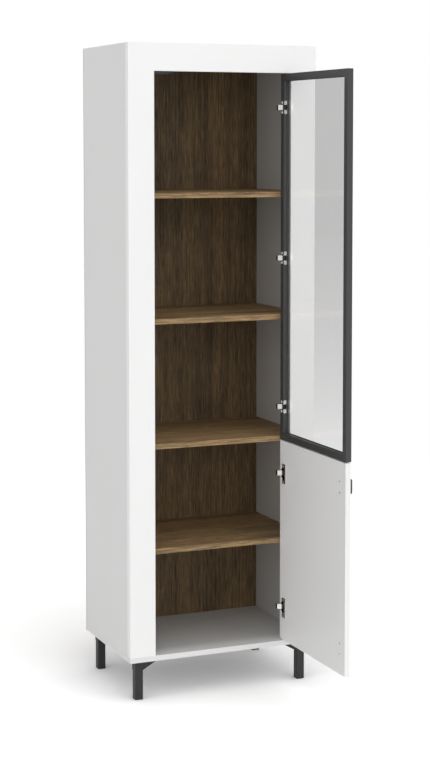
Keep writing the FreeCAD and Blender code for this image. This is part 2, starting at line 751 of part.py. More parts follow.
# Hinge housings in the frame: cheeks and a web round the knuckle, ears in the hollow, lugs on the reveal.
notch_floor = groove_back + 2 * notch_play
cheek_inner = arm_half + cheek_play
cheek_outer = cheek_inner + cheek_gauge
reveal = half_door - frame_face
notch_end = half_door - notch_edge
housing_end = notch_end - notch_play
housing_y = (notch_floor + notch_play, door_back - notch_play)
upper_pins = []
for word, z in upper_hinges.items():
    notch_z = (z - cheek_outer - notch_play, z + cheek_outer + notch_play)
    frame_tools["stile_hinge"].append(block((reveal, notch_end), (notch_floor, door_back), notch_z))
    pieces = [block((housing_end - housing_web, housing_end), housing_y, (z - cheek_outer, z + cheek_outer))]
    for step in (-1, 1):
        inner_z = z + step * cheek_inner
        outer_z = z + step * cheek_outer
        tip_z = z + step * lug_length / 2
        cheek_z = (outer_z, inner_z) if step < 0 else (inner_z, outer_z)
        ear_z = (tip_z, outer_z) if step < 0 else (outer_z, tip_z)
        ear_x = (reveal + frame_wall + bracket_play, housing_end)
        ear_y = (groove_back + frame_wall + bracket_play, door_back - frame_wall)
        pieces.append(block((reveal, housing_end), housing_y, cheek_z))
        pieces.append(block(ear_x, ear_y, ear_z))
        lug_y = (groove_back + lug_margin, door_back - lug_margin)
        lug_outline = [
            (lug_y[0], inner_z),
            (lug_y[1], inner_z),
            (lug_y[1], tip_z, lug_radius),
            (lug_y[0], tip_z, lug_radius),
        ]
        pieces.append(prism("YZ_Plane", lug_outline, reveal - lug_gauge, reveal))
    pin_start = (hinge_x, hinge_y, z - cheek_outer)
    pin_hole = flat_bore(pin_start, "+z", 2 * cheek_outer, hinge_pin_radius + hole_play / 2)
    swing(node(f"hinge_cup_{word}", carve(fuse(pieces), [pin_hole])))
    upper_pins.append(rod(pin_start, "+z", 2 * cheek_outer, hinge_pin_radius))
swing(cluster("upper_hinge_pins", upper_pins))

for stile, edge_x, way_x in (("stile_free", -half_door, 1), ("stile_hinge", half_door, -1)):
    section = profile(lambda u, y, *radius: (edge_x + way_x * u, y, *radius))
    bar = prism("XY_Plane", section, upper_bottom, upper_top)
    swing(node(f"frame_{stile}", carve(bar, frame_tools[stile])))
for frame_rail, edge_z, way_z in (("rail_bottom", upper_bottom, 1), ("rail_top", upper_top, -1)):
    section = profile(lambda u, y, *radius: (y, edge_z + way_z * u, *radius))
    bar = prism("YZ_Plane", section, -half_door, half_door)
    swing(node(f"frame_{frame_rail}", carve(bar, frame_tools[frame_rail])))
swing(cluster("frame_corner_brackets", brackets))


def inset_block(distance, y_low, y_high):
    """A block the size of the glass door, drawn in by one distance on all four edges."""
    return block(
        (-half_door + distance, half_door - distance), (y_low, y_high),
        (upper_bottom + distance, upper_top - distance),
    )


glass_inset = groove_floor + gasket_front
glass_front = lip_back + gasket_front
glass_back = glass_front + glass_thickness
swing(cluster("glass_pane", [inset_block(glass_inset, glass_front, glass_back)]))
gasket_tools = [
    inset_block(glass_inset, glass_front, glass_back),
    inset_block(frame_face + gasket_reach, lip_back - cut_overrun, groove_back + cut_overrun),
]
swing(node("glazing_gasket", carve(inset_block(groove_floor, lip_back, groove_back), gasket_tools)))

# Solid lower door with its turned hinge cups, the handle and the second pair of blind handle holes.
door_tools = []
lower_pins = []
cup_x = half_door - cup_from_edge
cup_floor = hinge_y - knuckle_radius - cheek_play - cup_gauge
cup_depth = door_back - cup_floor
pin_side = pin_offset + hinge_pin_radius
pin_bound = cup_radius - pin_cover
cup_pin_length = 2 * root(pin_bound * pin_bound - pin_side * pin_side)
cup_outline = [
    (0, 0),
    (cup_radius, 0),
    (cup_radius, cup_depth),
    (cup_bore, cup_depth),
    (cup_bore, cup_gauge),
    (0, cup_gauge),
]
for word, z in lower_hinges.items():
    shell = turned(cup_outline, (cup_x, cup_floor, z), "+y")
    flange_low = (cup_x - flange_width / 2, z - flange_height / 2)
    flange_high = (cup_x + flange_width / 2, z + flange_height / 2)
    flange_outline = rounded(flange_low, flange_high, flange_radius)
    flange = prism("XZ_Plane", flange_outline, door_back, door_back + flange_gauge)
    mouth = rod((cup_x, door_back, z), "+y", flange_gauge, cup_bore)
    pin_start = (hinge_x, hinge_y, z - cup_pin_length / 2)
    pin_hole = flat_bore(pin_start, "+z", cup_pin_length, hinge_pin_radius + hole_play / 2)
    lower_pins.append(rod(pin_start, "+z", cup_pin_length, hinge_pin_radius))
    well_floor = (cup_x, cup_floor - hole_play, z)
    door_tools.append(rod(well_floor, "+y", cup_depth + hole_play, cup_radius + cup_play))
    swing(node(f"hinge_cup_{word}", carve(fuse([shell, flange]), [mouth, pin_hole])))
swing(cluster("lower_hinge_pins", lower_pins))

handle_x = -half_door + handle_from_edge
handle_z = lower_top - handle_from_end - handle_pitch / 2
bow = (handle_x - handle_width / 2, handle_x + handle_width / 2)
bow_low = handle_z - handle_length / 2
bow_high = handle_z + handle_length / 2
bow_foot = handle_length - handle_pitch
bow_outline = [
    (measure(0), bow_low),
    (measure(0), bow_low + bow_foot),
    (handle_gauge - handle_reach, bow_low + bow_foot, handle_radius - handle_gauge / 2),
    (handle_gauge - handle_reach, bow_high - bow_foot, handle_radius - handle_gauge / 2),
    (measure(0), bow_high - bow_foot),
    (measure(0), bow_high),
    (-handle_reach, bow_high, handle_radius),
    (-handle_reach, bow_low, handle_radius),
]
handle_tools = []
handle_screws = []
hole_radius = handle_screw_radius + hole_play
for step in (-1, 1):
    seat = (handle_x, door_back, handle_z + step * handle_pitch / 2)
    shank = door_board + handle_screw_hold
    handle_screws.append(screw(seat, "-y", shank, handle_screw_radius, handle_screw_head, handle_screw_rise))
    foot = (handle_x, measure(0), seat[2])
    handle_tools.append(flat_rod(foot, "-y", handle_screw_hold + hole_spare, hole_radius))
    door_tools.append(flat_rod(seat, "-y", door_board, hole_radius))
    spare_z = lower_bottom + handle_from_end + (1 + step) * handle_pitch / 2
    door_tools.append(flat_rod((handle_x, door_back, spare_z), "-y", spare_hole_depth, spare_hole_radius))
swing(node("door_handle", carve(prism("YZ_Plane", bow_outline, *bow), handle_tools)))
swing(cluster("handle_screws", handle_screws))
panel = block((-half_door, half_door), (measure(0), door_back), (lower_bottom, lower_top))
swing(node("lower_door_panel", carve(panel, door_tools)))

doc.recompute()
for item in doc.Objects:
    if "Invalid" in item.State or "Error" in item.State:
        raise RuntimeError(f"{item.Label} did not build: {item.State}")
os.makedirs("parts", exist_ok=True)
for label, item in nodes.items():
    shape = item.Shape
    if shape.isNull() or not shape.isValid():
        raise RuntimeError(f"{label} has no valid shape")
    shape.exportStep(os.path.join("parts", f"{label}.step"))
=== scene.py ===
import json
import math

import bmesh
import bpy
from mathutils import Matrix, Vector


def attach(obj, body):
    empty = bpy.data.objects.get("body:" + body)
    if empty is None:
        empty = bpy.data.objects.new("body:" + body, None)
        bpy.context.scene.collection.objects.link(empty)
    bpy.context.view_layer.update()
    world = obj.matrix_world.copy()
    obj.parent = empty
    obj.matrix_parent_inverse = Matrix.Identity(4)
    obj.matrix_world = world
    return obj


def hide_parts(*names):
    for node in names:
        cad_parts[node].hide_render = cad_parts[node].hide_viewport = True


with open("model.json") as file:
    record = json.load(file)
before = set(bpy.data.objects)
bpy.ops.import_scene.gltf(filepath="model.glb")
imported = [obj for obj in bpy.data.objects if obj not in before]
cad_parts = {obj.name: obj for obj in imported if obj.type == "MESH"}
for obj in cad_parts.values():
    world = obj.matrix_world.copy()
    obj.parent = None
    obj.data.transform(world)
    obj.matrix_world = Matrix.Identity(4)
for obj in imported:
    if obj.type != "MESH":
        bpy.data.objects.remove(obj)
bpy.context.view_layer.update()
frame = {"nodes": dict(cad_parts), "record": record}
nodes = frame["nodes"]


class Value:
    """A number that changes over a surface; arithmetic on it adds Math nodes."""

    def __init__(self, finish, socket):
        self.finish = finish
        self.socket = socket

    def __add__(self, other):
        return self.finish.math("ADD", self, other)

    def __radd__(self, other):
        return self.finish.math("ADD", other, self)

    def __sub__(self, other):
        return self.finish.math("SUBTRACT", self, other)

    def __rsub__(self, other):
        return self.finish.math("SUBTRACT", other, self)

    def __mul__(self, other):
        return self.finish.math("MULTIPLY", self, other)

    def __rmul__(self, other):
        return self.finish.math("MULTIPLY", other, self)

    def __truediv__(self, other):
        return self.finish.math("DIVIDE", self, other)

    def __rtruediv__(self, other):
        return self.finish.math("DIVIDE", other, self)

    def __abs__(self):
        return self.finish.math("ABSOLUTE", self)

    def clip(self):
        return self.finish.math("ADD", self, 0.0, use_clamp=True)

    def rise(self, start, end):
        """Nought before the start, one after the end and a straight slope between them."""
        return ((self - start) / (end - start)).clip()

    def between(self, low, high, slope):
        """One between two ends, falling to nought over the slope within each of them."""
        return self.rise(low, low + slope) * (1.0 - self.rise(high - slope, high))


class Finish:
    """One material, or the studio's sky: its nodes and the shader that they feed."""

    def __init__(self, name, tree=None):
        if tree is None:
            self.material = bpy.data.materials.new(name)
            self.material.use_nodes = True
            tree = self.material.node_tree
        self.tree = tree
        self.tree.nodes.clear()

    def node(self, kind, settings=None, sockets=None, output=0):
        """Any node: its settings, then its sockets' values or links; gives back one output."""
        made = self.tree.nodes.new(kind)
        for name, value in (settings or {}).items():
            if name == "stops":
                self.set_stops(made.color_ramp, value)
            else:
                setattr(made, name, value)
        for name, value in (sockets or {}).items():
            self.feed(made.inputs[name], value)
        return Value(self, made.outputs[output]) if made.outputs else made

    def set_stops(self, ramp, stops):
        while len(ramp.elements) < len(stops):
            ramp.elements.new(0.5)
        for element, (place, colour) in zip(ramp.elements, stops):
            element.position = place
            element.color = (*colour, 1.0)

    def feed(self, socket, value):
        if isinstance(value, Value):
            self.tree.links.new(value.socket, socket)
        else:
            socket.default_value = value

    def math(self, operation, *parts, use_clamp=False):
        settings = {"operation": operation, "use_clamp": use_clamp}
        return self.node("ShaderNodeMath", settings, dict(enumerate(parts)))

    def ray(self, kind):
        """One where the ray that meets the surface is of this kind."""
        return self.node("ShaderNodeLightPath", output=kind)

    def ray_seen(self):
        """One for rays from the camera or a shiny surface, not for light or what glass shows."""
        mirrored = self.ray("Is Glossy Ray") * (1.0 - self.ray("Is Transmission Ray"))
        return (self.ray("Is Camera Ray") + mirrored).clip()

    def place(self):
        """Where a point is on the object, in metres."""
        return self.node("ShaderNodeTexCoord", output="Object")

    def along(self, axis):
        """How far a point is along one axis, in metres."""
        return self.node("ShaderNodeSeparateXYZ", None, {"Vector": self.place()}, output=axis)

    def vector_math(self, operation, *parts, output=0):
        settings = {"operation": operation}
        return self.node("ShaderNodeVectorMath", settings, dict(enumerate(parts)), output)

    def noise(self, scale, detail, roughness=0.5, distortion=0.0):
        """Soft noise with one scale for each axis, in waves for each metre."""
        sockets = {
            "Vector": self.vector_math("MULTIPLY", self.place(), scale),
            "Scale": 1.0,
            "Detail": detail,
            "Roughness": roughness,
            "Distortion": distortion,
        }
        return self.node("ShaderNodeTexNoise", None, sockets)

    def speckle(self, scale, detail=2.0):
        """Noise with the same scale every way."""
        return self.noise((scale, scale, scale), detail)

    def blend(self, factor, first, second):
        """A colour between two others."""
        settings = {"data_type": "RGBA", "clamp_factor": True}
        return self.node("ShaderNodeMix", settings, {0: factor, 6: first, 7: second}, output=2)

    def mottled(self, factor, colour, shares):
        """A colour that wavers between two shares of itself."""
        low, high = (tinted(colour, share) for share in shares)
        return self.blend(factor, low, high)

    def ramp(self, value, stops):
        return self.node("ShaderNodeValToRGB", {"stops": stops}, {"Fac": value})

    def bump(self, height, distance, strength):
        sockets = {"Height": height, "Distance": distance, "Strength": strength}
        return self.node("ShaderNodeBump", None, sockets)

    def principled(self, **sockets):
        """A Principled shader; names are its sockets with underscores for spaces."""
        named = {name.replace("_", " "): value for name, value in sockets.items()}
        return self.node("ShaderNodeBsdfPrincipled", None, named)

    def finish(self, shader):
        self.node("ShaderNodeOutputMaterial", None, {"Surface": shader})
        return self.material

    def shade(self, **sockets):
        """Ends the material in one Principled shader."""
        return self.finish(self.principled(**sockets))


def rgb(red, green, blue):
    return (red, green, blue, 1.0)


def tinted(colour, share):
    return rgb(*(share * part for part in colour))


# Planes of the object in metres, with both doors open: just past the inner faces of the sides, just
# behind the front frame, the doors' inner faces, and the edge of the glass door's bar by the pane.
INNER_HALF = 0.2845
FRONT_BACK = 0.0225
DOOR_INNER_X = 0.1943
REVEAL_Y = 0.0013

# The white inside the cabinet is painted darker as shade: it fades in over this depth behind the
# front frame, down to the inner shares of its tone.
INNER_SHADE_FADE = 0.05
INNER_SLACK = 0.0002
OUTER_SHARES = (0.985, 1.015)
INNER_SHADE_SHARES = (0.73, 0.77)
CLOUD_SCALE = (3.0, 3.0, 2.0)
PEBBLE_SCALE = 900.0
PEBBLE_DEPTH = 0.00012
RAW_BOARD = rgb(0.15, 0.105, 0.065)
LOWER_DOOR_SPAN = {"X": (DOOR_INNER_X, 0.2103), "Y": (-0.4127, 0.0213), "Z": (0.136, 0.7475)}
DOOR_SKIN = 0.00035


def within_lower_door(f):
    """The lower door's bores, which lie inside its faces and edges."""
    across, back, up = (
        f.along(axis).between(low + DOOR_SKIN, high - DOOR_SKIN, DOOR_SKIN)
        for axis, (low, high) in LOWER_DOOR_SPAN.items()
    )
    return across * back * up


def white_melamine(name, tone, roughness, bores=None):
    """White melamine with a faint pebble, darker inside the cabinet as painted shade, and raw board
    in the bores.
    """
    f = Finish(name)
    cloud = f.noise(CLOUD_SCALE, detail=2.0)
    pebble = f.speckle(PEBBLE_SCALE)
    # Painted shade: the mask of the cabinet's inside, where the white is darkened.
    within = 1.0 - abs(f.along("X")).rise(INNER_HALF - INNER_SLACK, INNER_HALF)
    inside = within * f.along("Y").rise(FRONT_BACK, FRONT_BACK + INNER_SHADE_FADE)
    outer = f.mottled(cloud, tone, OUTER_SHARES)
    inner = f.mottled(cloud, tone, INNER_SHADE_SHARES)
    colour = f.blend(inside, outer, inner)
    if bores:
        colour = f.blend(bores(f), colour, RAW_BOARD)
    return f.shade(
        Base_Color=colour,
        Roughness=roughness + 0.1 * pebble,
        Normal=f.bump(pebble, PEBBLE_DEPTH, strength=0.5),
    )


OAK_TONE = (0.284, 0.187, 0.091)
OAK_BACK_SHARE = 0.53
OAK_SHARES = ((0.38, 0.38, 0.38), (1.0, 1.0, 1.0), (1.85, 1.8, 1.72))
OAK_STOPS = (0.2, 0.5, 0.8)
# Waves for each metre along the grain, then across it.
FIGURE_SCALE = (0.9, 15.0)
STREAK_SCALE = (1.5, 210.0)
FIBRE_SCALE = (16.0, 300.0)
PORE_SCALE = (42.0, 900.0)
KNOT_SCALE = (2.6, 8.0)
# How much each of them moves the tone, about the middle of a noise.
MIDDLE = 0.5
FIGURE_WEIGHT = 0.7
STREAK_WEIGHT = 0.8
FIBRE_WEIGHT = 1.45
KNOT_WEIGHT = 0.22
KNOT_REACH = 0.34
KNOT_SLOPE = 3.2
KNOT_WAVER = 0.5
PORE_START = 0.57
PORE_SLOPE = 7.0
PIT_SHARE = 0.35
PIT_COVER = 0.6
GRAIN_DEPTH = 0.0003


def oak(name, along, tone):
    """Oak with its grain along one axis: figure, streaks, fibres, dark pores and small knots."""
    f = Finish(name)

    def scale(length, across):
        return tuple(length if axis == along else across for axis in "xyz")

    figure = f.noise(scale(*FIGURE_SCALE), detail=4.0, roughness=0.55, distortion=0.7)
    streak = f.noise(scale(*STREAK_SCALE), detail=4.0, roughness=0.65, distortion=0.15)
    fibre = f.noise(scale(*FIBRE_SCALE), detail=4.0, roughness=0.7)
    pores = f.noise(scale(*PORE_SCALE), detail=2.0)
    spread = f.vector_math("MULTIPLY", f.place(), scale(*KNOT_SCALE))
    cells = f.node(
        "ShaderNodeTexVoronoi",
        {"feature": "SMOOTH_F1"},
        {"Vector": spread, "Scale": 1.0, "Smoothness": 0.3},
        output="Distance",
    )
    knot = ((KNOT_REACH - cells) * KNOT_SLOPE + KNOT_WAVER * (figure - MIDDLE)).clip()
    grain = MIDDLE + FIGURE_WEIGHT * (figure - MIDDLE) + STREAK_WEIGHT * (streak - MIDDLE)
    grain = (grain + FIBRE_WEIGHT * (fibre - MIDDLE) - KNOT_WEIGHT * knot).clip()
    shades = [[share * part for share, part in zip(shares, tone)] for shares in OAK_SHARES]
    colour = f.ramp(grain, list(zip(OAK_STOPS, shades)))
    pit = ((pores - PORE_START) * PORE_SLOPE).clip()
    return f.shade(
        Base_Color=f.blend(pit * PIT_COVER, colour, tinted(tone, PIT_SHARE)),
        Roughness=0.52 + 0.2 * streak,
        Specular_IOR_Level=0.35,
        Normal=f.bump(0.6 * fibre + 0.4 * streak - 0.6 * pit, GRAIN_DEPTH, strength=0.6),
    )


def beech():
    """Plain beech for the dowels."""
    f = Finish("beech_dowel")
    streak = f.speckle(220.0, detail=3.0)
    colour = f.blend(streak, rgb(0.52, 0.36, 0.20), rgb(0.66, 0.50, 0.31))
    return f.shade(Base_Color=colour, Roughness=0.55 + 0.1 * streak)


PLATE_SHARES = (0.88, 1.0)
RUB_DEPTH = 0.00003
# Painted shade and painted dark reflection on the hinges: the dark tone, and the share of metal
# that it takes away.
PAINTED_SHADE_TONE = rgb(0.012, 0.011, 0.010)
PAINTED_SHADE_COVER = 0.7


def plated(name, colour, roughness, brush, shade_mask=None):
    """Plated metal with fine rubbing marks; the optional mask gives places painted dark as shade
    and, on the arms' bends, as a dark reflection.
    """
    f = Finish(name)
    marks = f.noise(brush, detail=3.0)
    tone = f.mottled(marks, colour, PLATE_SHARES)
    metal = 1.0
    if shade_mask:
        painted_shade = shade_mask(f)
        tone = f.blend(painted_shade, tone, PAINTED_SHADE_TONE)
        metal = 1.0 - PAINTED_SHADE_COVER * painted_shade
    return f.shade(
        Base_Color=tone,
        Metallic=metal,
        Roughness=roughness + 0.06 * marks,
        Normal=f.bump(marks, RUB_DEPTH, strength=0.4),
    )


# The doors' turning line, and where the painted shade of each hinge part begins and ends.
HINGE_X = 0.203
HINGE_Y = 0.0073
KNUCKLE_REACH = (0.0075, 0.0095)
ARM_BEND = (0.1828, 0.1832)
HOUSING_EDGE = 0.0004
CUP_EDGE = 0.0006


def knuckle_and_bend(f):
    """Painted shade on the end of an arm that turns on the pin, and a painted dark reflection on
    the outside of its bend.
    """
    across = f.along("X") - HINGE_X
    back = f.along("Y") - HINGE_Y
    away = f.math("SQRT", across * across + back * back)
    knuckle = 1.0 - away.rise(*KNUCKLE_REACH)
    bend = 1.0 - f.along("X").rise(*ARM_BEND)
    return (knuckle + bend).clip()


def within_housing(f):
    """The part of an upper hinge's housing that is let into the frame's bar, painted dark as shade.
    """
    return f.along("Y").rise(REVEAL_Y, REVEAL_Y + HOUSING_EDGE)


def within_cup(f):
    """The part of a lower hinge's cup that is let into the door, painted dark as shade."""
    return f.along("X").rise(DOOR_INNER_X, DOOR_INNER_X + CUP_EDGE)


PAINT_SHARES = (0.88, 1.1)
PAINT_CLOUD_SCALE = 14.0
PAINT_GRAIN_SCALE = 1400.0
PAINT_GRAIN_DEPTH = 0.00008


def powder_coat(name, colour):
    """Fine matt powder paint with a grainy surface."""
    f = Finish(name)
    grain = f.speckle(PAINT_GRAIN_SCALE)
    cloud = f.speckle(PAINT_CLOUD_SCALE)
    return f.shade(
        Base_Color=f.mottled(cloud, colour, PAINT_SHARES),
        Roughness=0.5 + 0.15 * grain,
        Normal=f.bump(grain, PAINT_GRAIN_DEPTH, strength=0.5),
    )


DRAWING_SCALE = (1500.0, 1500.0, 12.0)
DRAWING_DEPTH = 0.00003


def dark_anodised():
    """Dark grey anodised aluminium with drawing lines along the bar."""
    f = Finish("dark_anodised")
    lines = f.noise(DRAWING_SCALE, detail=2.0)
    colour = f.blend(lines, rgb(0.047, 0.047, 0.049), rgb(0.060, 0.060, 0.062))
    return f.shade(
        Base_Color=colour,
        Metallic=0.12,
        Roughness=0.44 + 0.12 * lines,
        Normal=f.bump(lines, DRAWING_DEPTH, strength=0.3),
    )


def tinted_glass():
    """Lightly grey float glass; lamps shine through it as through a real pane."""
    f = Finish("grey_float_glass")
    pane = f.principled(
        Base_Color=rgb(0.988, 0.99, 0.992),
        Roughness=0.0,
        IOR=1.4,
        Transmission_Weight=1.0,
    )
    clear = f.node("ShaderNodeBsdfTransparent", None, {"Color": rgb(0.98, 0.98, 0.98)})
    lamplight = (f.ray("Is Shadow Ray") + f.ray("Is Diffuse Ray")).clip()
    return f.finish(f.node("ShaderNodeMixShader", None, {0: lamplight, 1: pane, 2: clear}))


SPARK_SHARES = (0.9, 1.1)
SPARK_SCALE = 1000.0
SPARK_DEPTH = 0.00005


def moulded(name, colour, roughness):
    """Moulded plastic or rubber with a fine spark-eroded grain."""
    f = Finish(name)
    spark = f.speckle(SPARK_SCALE)
    return f.shade(
        Base_Color=f.mottled(spark, colour, SPARK_SHARES),
        Roughness=roughness + 0.1 * spark,
        Normal=f.bump(spark, SPARK_DEPTH, strength=0.4),
    )


# Tone and roughness of each white; tone, roughness and rubbing scale of each plating.
MATT_WHITE = ((0.81, 0.81, 0.805), 0.42)
SATIN_WHITE = ((0.93, 0.93, 0.925), 0.28)
ZINC = ((0.62, 0.62, 0.62), 0.2, (300.0, 300.0, 300.0))
NICKEL = ((0.68, 0.67, 0.65), 0.07, (120.0, 120.0, 900.0))
finishes = {
    "white_board": white_melamine("matt_white_melamine", *MATT_WHITE),
    "white_front": white_melamine("satin_white_melamine", *SATIN_WHITE),
    "white_door": white_melamine("satin_white_door", *SATIN_WHITE, within_lower_door),
    "oak_board": oak("oak_shelf", "x", OAK_TONE),
    "oak_back": oak("oak_back", "z", tuple(OAK_BACK_SHARE * part for part in OAK_TONE)),
    "beech": beech(),
    "steel": plated("zinc_steel", *ZINC),
    "nickel": plated("nickel_plate", *NICKEL),
    "hinge_arm": plated("nickel_arm", *NICKEL, knuckle_and_bend),
    "hinge_housing": plated("nickel_housing", *NICKEL, within_housing),
    "hinge_cup": plated("nickel_cup", *NICKEL, within_cup),
    "leg_paint": powder_coat("leg_powder_paint", (0.0165, 0.0165, 0.0165)),
    "handle_paint": powder_coat("handle_powder_paint", (0.07, 0.07, 0.071)),
    "dark_aluminium": dark_anodised(),
    "tinted_glass": tinted_glass(),
    "gasket_rubber": moulded("soft_gasket", (0.03, 0.03, 0.03), 0.6),
    "black_plastic": moulded("black_moulding", (0.02, 0.02, 0.02), 0.5),
    "grey_plastic": moulded("grey_moulding", (0.045, 0.05, 0.056), 0.5),
    "screw_cap": moulded("white_screw_cap", (0.84, 0.84, 0.83), 0.3),
}

# Pieces whose names begin so take a finish other than their slot's own.
PIECE_FINISHES = {
    "back_panel": "oak_back",
    "front_": "white_front",
    "lower_door_panel": "white_door",
    "hinge_arm": "hinge_arm",
    "hinge_cup_upper": "hinge_housing",
}


def finish_for(node, slot):
    """A node takes its slot's finish, or a kind of it made for that piece."""
    for start, kind in PIECE_FINISHES.items():
        if node.startswith(start):
            return finishes[kind]
    return finishes[slot]


# Width of the rounding for each slot, in metres.
SOFT_EDGES = {
    "white_board": 0.0004,
    "oak_board": 0.0004,
    "dark_aluminium": 0.0003,
    "leg_paint": 0.0005,
    "grey_plastic": 0.0006,
}
SHARP_TURN = math.radians(35.0)
SAME_POINT = 0.000001


def soften_edges(piece, width):
    """Rounds a piece's sharp edges a little, as edging, drawing and paint leave them."""
    weld = piece.modifiers.new("joined_faces", "WELD")
    weld.merge_threshold = SAME_POINT
    bevel = piece.modifiers.new("soft_edges", "BEVEL")
    bevel.width = width
    bevel.segments = 2
    bevel.limit_method = "ANGLE"
    bevel.angle_limit = SHARP_TURN
    bevel.harden_normals = True


for part in frame["record"]["subparts"]:
    piece = nodes[part["node"]]
    slot = part["material_slot"]
    piece.data.materials.clear()
    piece.data.materials.append(finish_for(part["node"], slot))
    if slot in SOFT_EDGES:
        soften_edges(piece, SOFT_EDGES[slot])


# Each ring of a head is a share of its radius and a share of its height.
RING_STEPS = 24
HEAD_RINGS = ((1.0, 0.0), (1.0, 0.3), (0.93, 0.68), (0.78, 0.92), (0.66, 1.0))
NAIL_RINGS = ((1.0, 0.0), (0.97, 0.5), (0.8, 0.85), (0.45, 1.0))
COLLAR_RINGS = ((1.0, 0.0), (0.96, 0.8), (0.88, 1.0), (0.66, 1.0), (0.62, 0.7), (0.62, 0.0))
RECESS_ARM = 0.52
RECESS_HALF = 0.13
RECESS_TAPER = 0.75
RECESS_FLOOR = 0.25


def ring_verts(shape, radius, height, steps=RING_STEPS):
    turns = (math.tau * i / steps for i in range(steps))
    return [shape.verts.new((radius * math.cos(t), radius * math.sin(t), height)) for t in turns]


def skin(shape, rings):
    """Faces between each ring of points and the next."""
    for lower, upper in zip(rings, rings[1:]):
        for i in range(len(lower)):
            j = (i + 1) % len(lower)
            shape.faces.new((lower[i], lower[j], upper[j], upper[i]))


def cross_outline(arm, half):
    """A cross of four arms, as the points round it."""
    quarter = [(arm, -half), (arm, half), (half, half)]
    points = []
    for turn in range(4):
        c, s = round(math.cos(math.tau * turn / 4)), round(math.sin(math.tau * turn / 4))
        points += [(c * x - s * y, s * x + c * y) for x, y in quarter]
    return points


def screw_head(radius, height):
    """A domed screw head with a tapered cross recess."""
    shape = bmesh.new()
    rings = [ring_verts(shape, share * radius, rise * height) for share, rise in HEAD_RINGS]
    skin(shape, rings)
    outline = cross_outline(RECESS_ARM * radius, RECESS_HALF * radius)
    lip = [shape.verts.new((x, y, height)) for x, y in outline]
    depth = RECESS_FLOOR * height
    base = [(RECESS_TAPER * x, RECESS_TAPER * y, depth) for x, y in outline]
    floor = [shape.verts.new(point) for point in base]
    edges = []
    for loop in (rings[-1], lip):
        for i, vert in enumerate(loop):
            ends = (vert, loop[(i + 1) % len(loop)])
            edges.append(shape.edges.get(ends) or shape.edges.new(ends))
    bmesh.ops.triangle_fill(shape, edges=edges, use_beauty=True)
    skin(shape, [floor, lip])
    shape.faces.new(floor)
    shape.faces.new(list(reversed(rings[0])))
    return shape


def nail_head(radius, height):
    """A flat nail head with a rounded rim."""
    shape = bmesh.new()
    rings = [ring_verts(shape, share * radius, rise * height) for share, rise in NAIL_RINGS]
    skin(shape, rings)
    shape.faces.new(rings[-1])
    shape.faces.new(list(reversed(rings[0])))
    return shape


def collar(radius, height):
    """A washer with rounded edges round a screw."""
    shape = bmesh.new()
    rings = [ring_verts(shape, share * radius, rise * height) for share, rise in COLLAR_RINGS]
    skin(shape, rings + rings[:1])
    return shape


BACKWARD = Vector((0, 1, 0))
LEFTWARD = Vector((-1, 0, 0))
DOWNWARD = Vector((0, 0, -1))
FIRST_TWIST = 0.6
NEXT_TWIST = 1.1


def turned(facing):
    """The turn that makes a fitting look one way."""
    return facing.to_track_quat("Z", "Y").to_matrix().to_4x4()


def add_piece(name, shape, body, slot, finish=None):
    """Makes a finished piece of a shape, on the body that it moves with."""
    mesh = bpy.data.meshes.new(name)
    shape.to_mesh(mesh)
    shape.free()
    mesh.materials.append(finishes[finish or slot])
    piece = bpy.data.objects.new(name, mesh)
    bpy.context.collection.objects.link(piece)
    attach(piece, body)
    return piece


def join(whole, shape):
    """Adds a shape to another one."""
    copy = bpy.data.meshes.new("copy")
    shape.to_mesh(copy)
    shape.free()
    whole.from_mesh(copy)
    bpy.data.meshes.remove(copy)


def fittings(name, body, slot, make, facing, heads, finish=None):
    """One piece of many small heads that look one way: a spot, then a radius and a height each."""
    whole = bmesh.new()
    for number, (spot, size) in enumerate(heads):
        shape = make(*size)
        bmesh.ops.recalc_face_normals(shape, faces=shape.faces)
        twist = Matrix.Rotation(FIRST_TWIST + NEXT_TWIST * number, 4, "Z")
        shape.transform(Matrix.Translation(spot) @ turned(facing) @ twist)
        join(whole, shape)
    return add_piece(name, whole, body, slot, finish)


UPPER_HINGES = (1.751, 1.30075, 0.8505)
LOWER_HINGES = (0.6475, 0.236)
# The plate of a lower hinge: its sides and ends from the cup's middle, and an inset and a rise
# for each ring of its edge.
CUP_MIDDLE_Y = -0.0002
CUP_PLATE_RISE = 0.0024
CUP_PLATE_NEAR = 0.003
CUP_PLATE_FAR = 0.0195
CUP_PLATE_HALF = 0.030
CUP_PLATE_CORNER = 0.002
CORNER_STEPS = 4
CUP_PLATE_RINGS = ((0.0, 0.0), (0.0, 0.0018), (0.0002, 0.0022), (0.0006, CUP_PLATE_RISE))
CUP_MOUTH = 0.0167
MOUTH_STEPS = 32
CUP_STEPS = 48
CUP_RINGS = ((0.0166, -0.0114), (0.0166, 0.0), (0.0172, 0.0), (0.0172, -0.0122))


def cup_plate_outline(inset):
    """A lower hinge's plate, y and z from its cup's middle: round corners and a bay for the cup."""
    near, far, half = CUP_PLATE_NEAR - inset, CUP_PLATE_FAR - inset, CUP_PLATE_HALF - inset
    mouth = CUP_MOUTH + inset
    bend = CUP_PLATE_CORNER - inset
    middles = ((near, half), (-far, half), (-far, -half), (near, -half))
    points = []
    for quarter, (y, z) in enumerate(middles):
        y -= math.copysign(bend, y)
        z -= math.copysign(bend, z)
        for step in range(CORNER_STEPS + 1):
            turn = math.tau * (quarter + step / CORNER_STEPS) / 4
            points.append((y + bend * math.cos(turn), z + bend * math.sin(turn)))
    start = math.acos(near / mouth)
    sweep = math.tau - 2 * start
    for step in range(MOUTH_STEPS + 1):
        turn = -start - sweep * step / MOUTH_STEPS
        points.append((mouth * math.cos(turn), mouth * math.sin(turn)))
    return points


